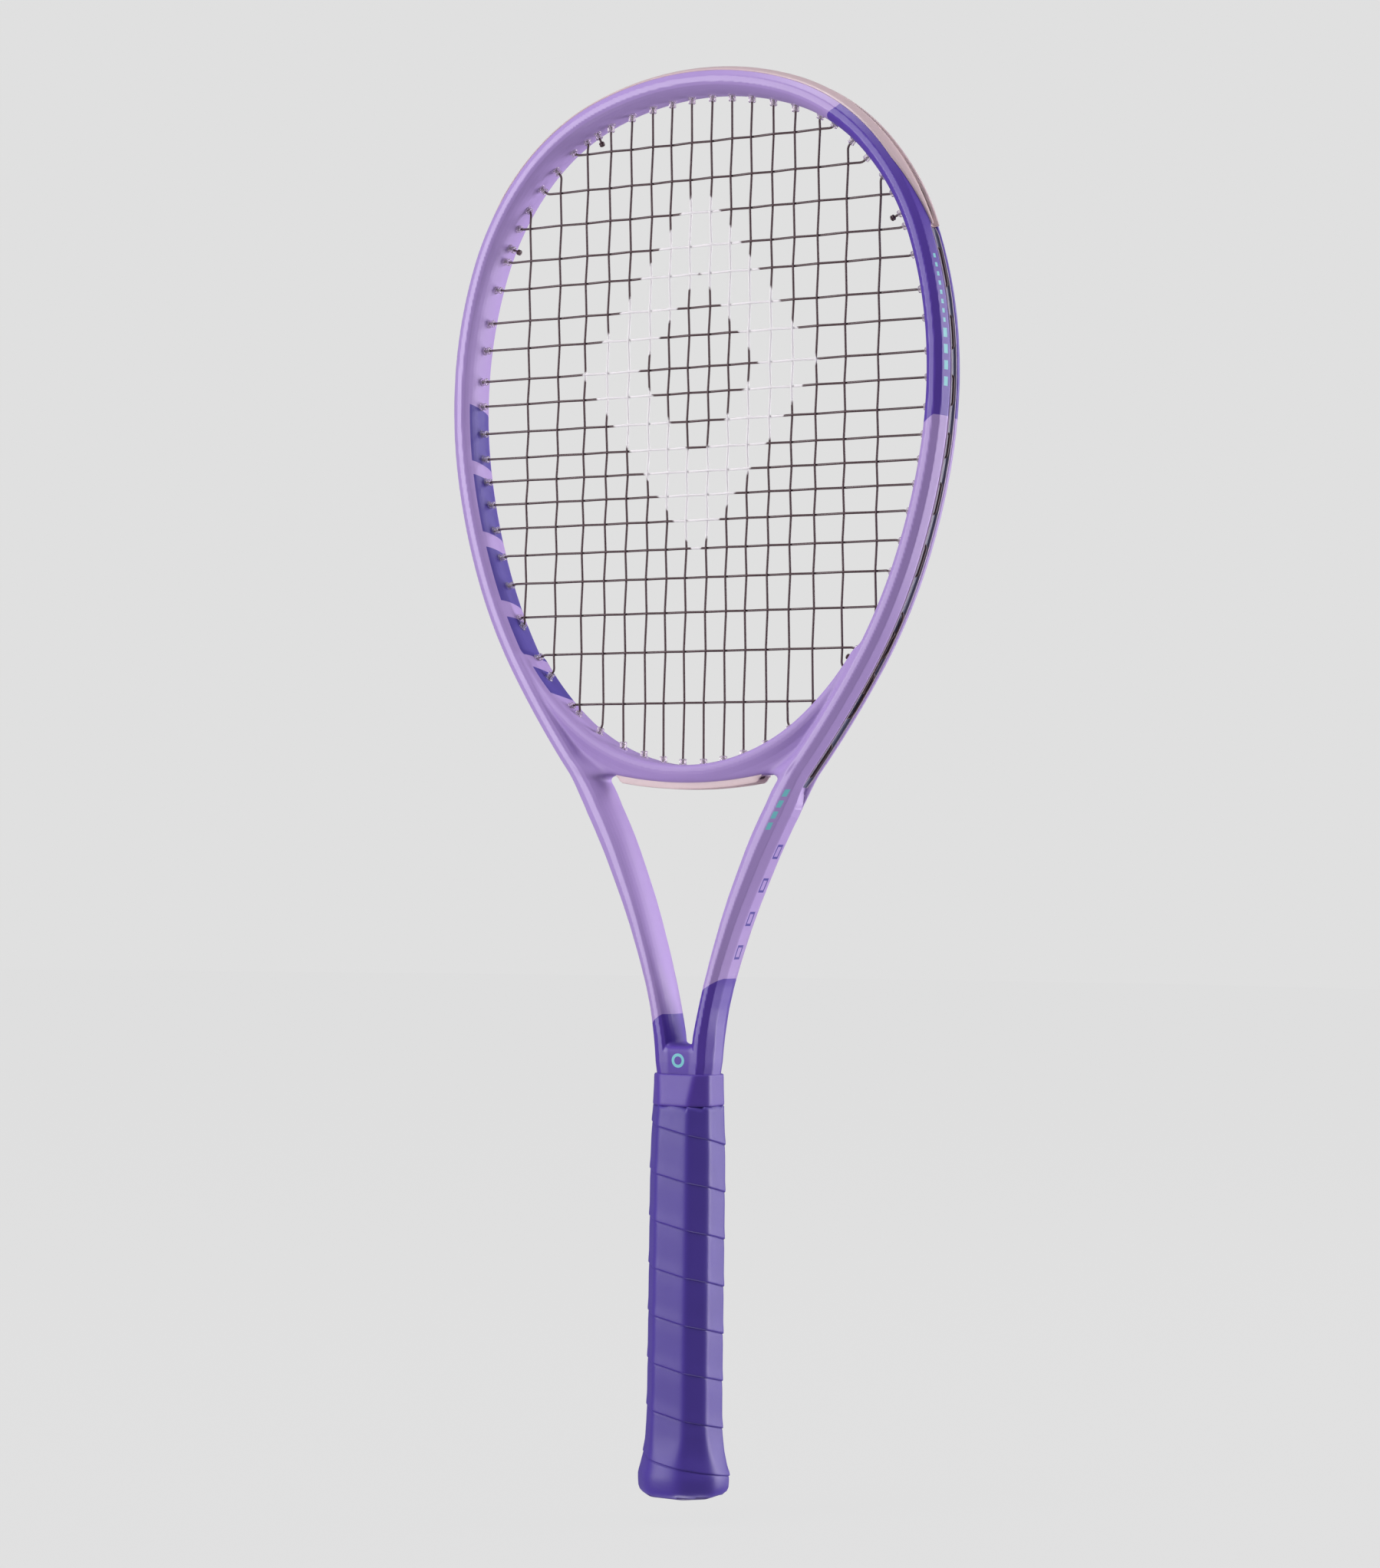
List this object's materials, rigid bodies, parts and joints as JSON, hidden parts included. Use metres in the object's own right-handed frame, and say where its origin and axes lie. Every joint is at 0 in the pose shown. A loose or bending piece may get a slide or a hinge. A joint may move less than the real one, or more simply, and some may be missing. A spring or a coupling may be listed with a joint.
{
  "type": "tennis racket",
  "caption": "Strung tennis racket with a hollow hairpin frame, throat bridge, string bed, grommet strips and a wrapped octagonal handle.",
  "frame": {"origin": "centre of the flat end of the handle", "axes": "+Z along the racket from the butt to the tip, X across the string bed, -Y is the front face of the string bed"},
  "size_m": [0.2724, 0.041, 0.6858],
  "materials": {
    "frame_paint": "satin lacquer over a fibre laminate",
    "clear_guard": "translucent moulded nylon",
    "string": "smooth round polyester",
    "pallet": "moulded",
    "core_foam": "foam",
    "weight_steel": "plain",
    "cap_plastic": "fine spark texture",
    "staple_steel": "plain",
    "grip_skin": "smooth tacky polyurethane",
    "tape_black": "woven adhesive tape",
    "collar_rubber": "smooth"
  },
  "bodies": {
    "racket": {"frame_tube": "frame_paint", "throat_bridge": "frame_paint", "bumper_guard": "clear_guard", "grommet_strip_left": "clear_guard", "grommet_strip_right": "clear_guard", "throat_grommet_strip": "clear_guard", "main_string": "string", "cross_string": "string", "pallet_front": "pallet", "pallet_back": "pallet", "shank_foam_left": "core_foam", "shank_foam_right": "core_foam", "balance_weight": "weight_steel", "butt_cap": "cap_plastic", "butt_cap_staples": "staple_steel", "grip_wrap": "grip_skin", "grip_tack": "staple_steel", "finishing_tape": "tape_black", "rubber_collar": "collar_rubber"},
    "door": {"butt_cap_door": "cap_plastic"}
  },
  "joints": [
    {"name": "door_slide", "type": "slide", "parent": "racket", "child": "door", "axis": [0, 0, -1], "range_m": [0, 0.012]}
  ]
}
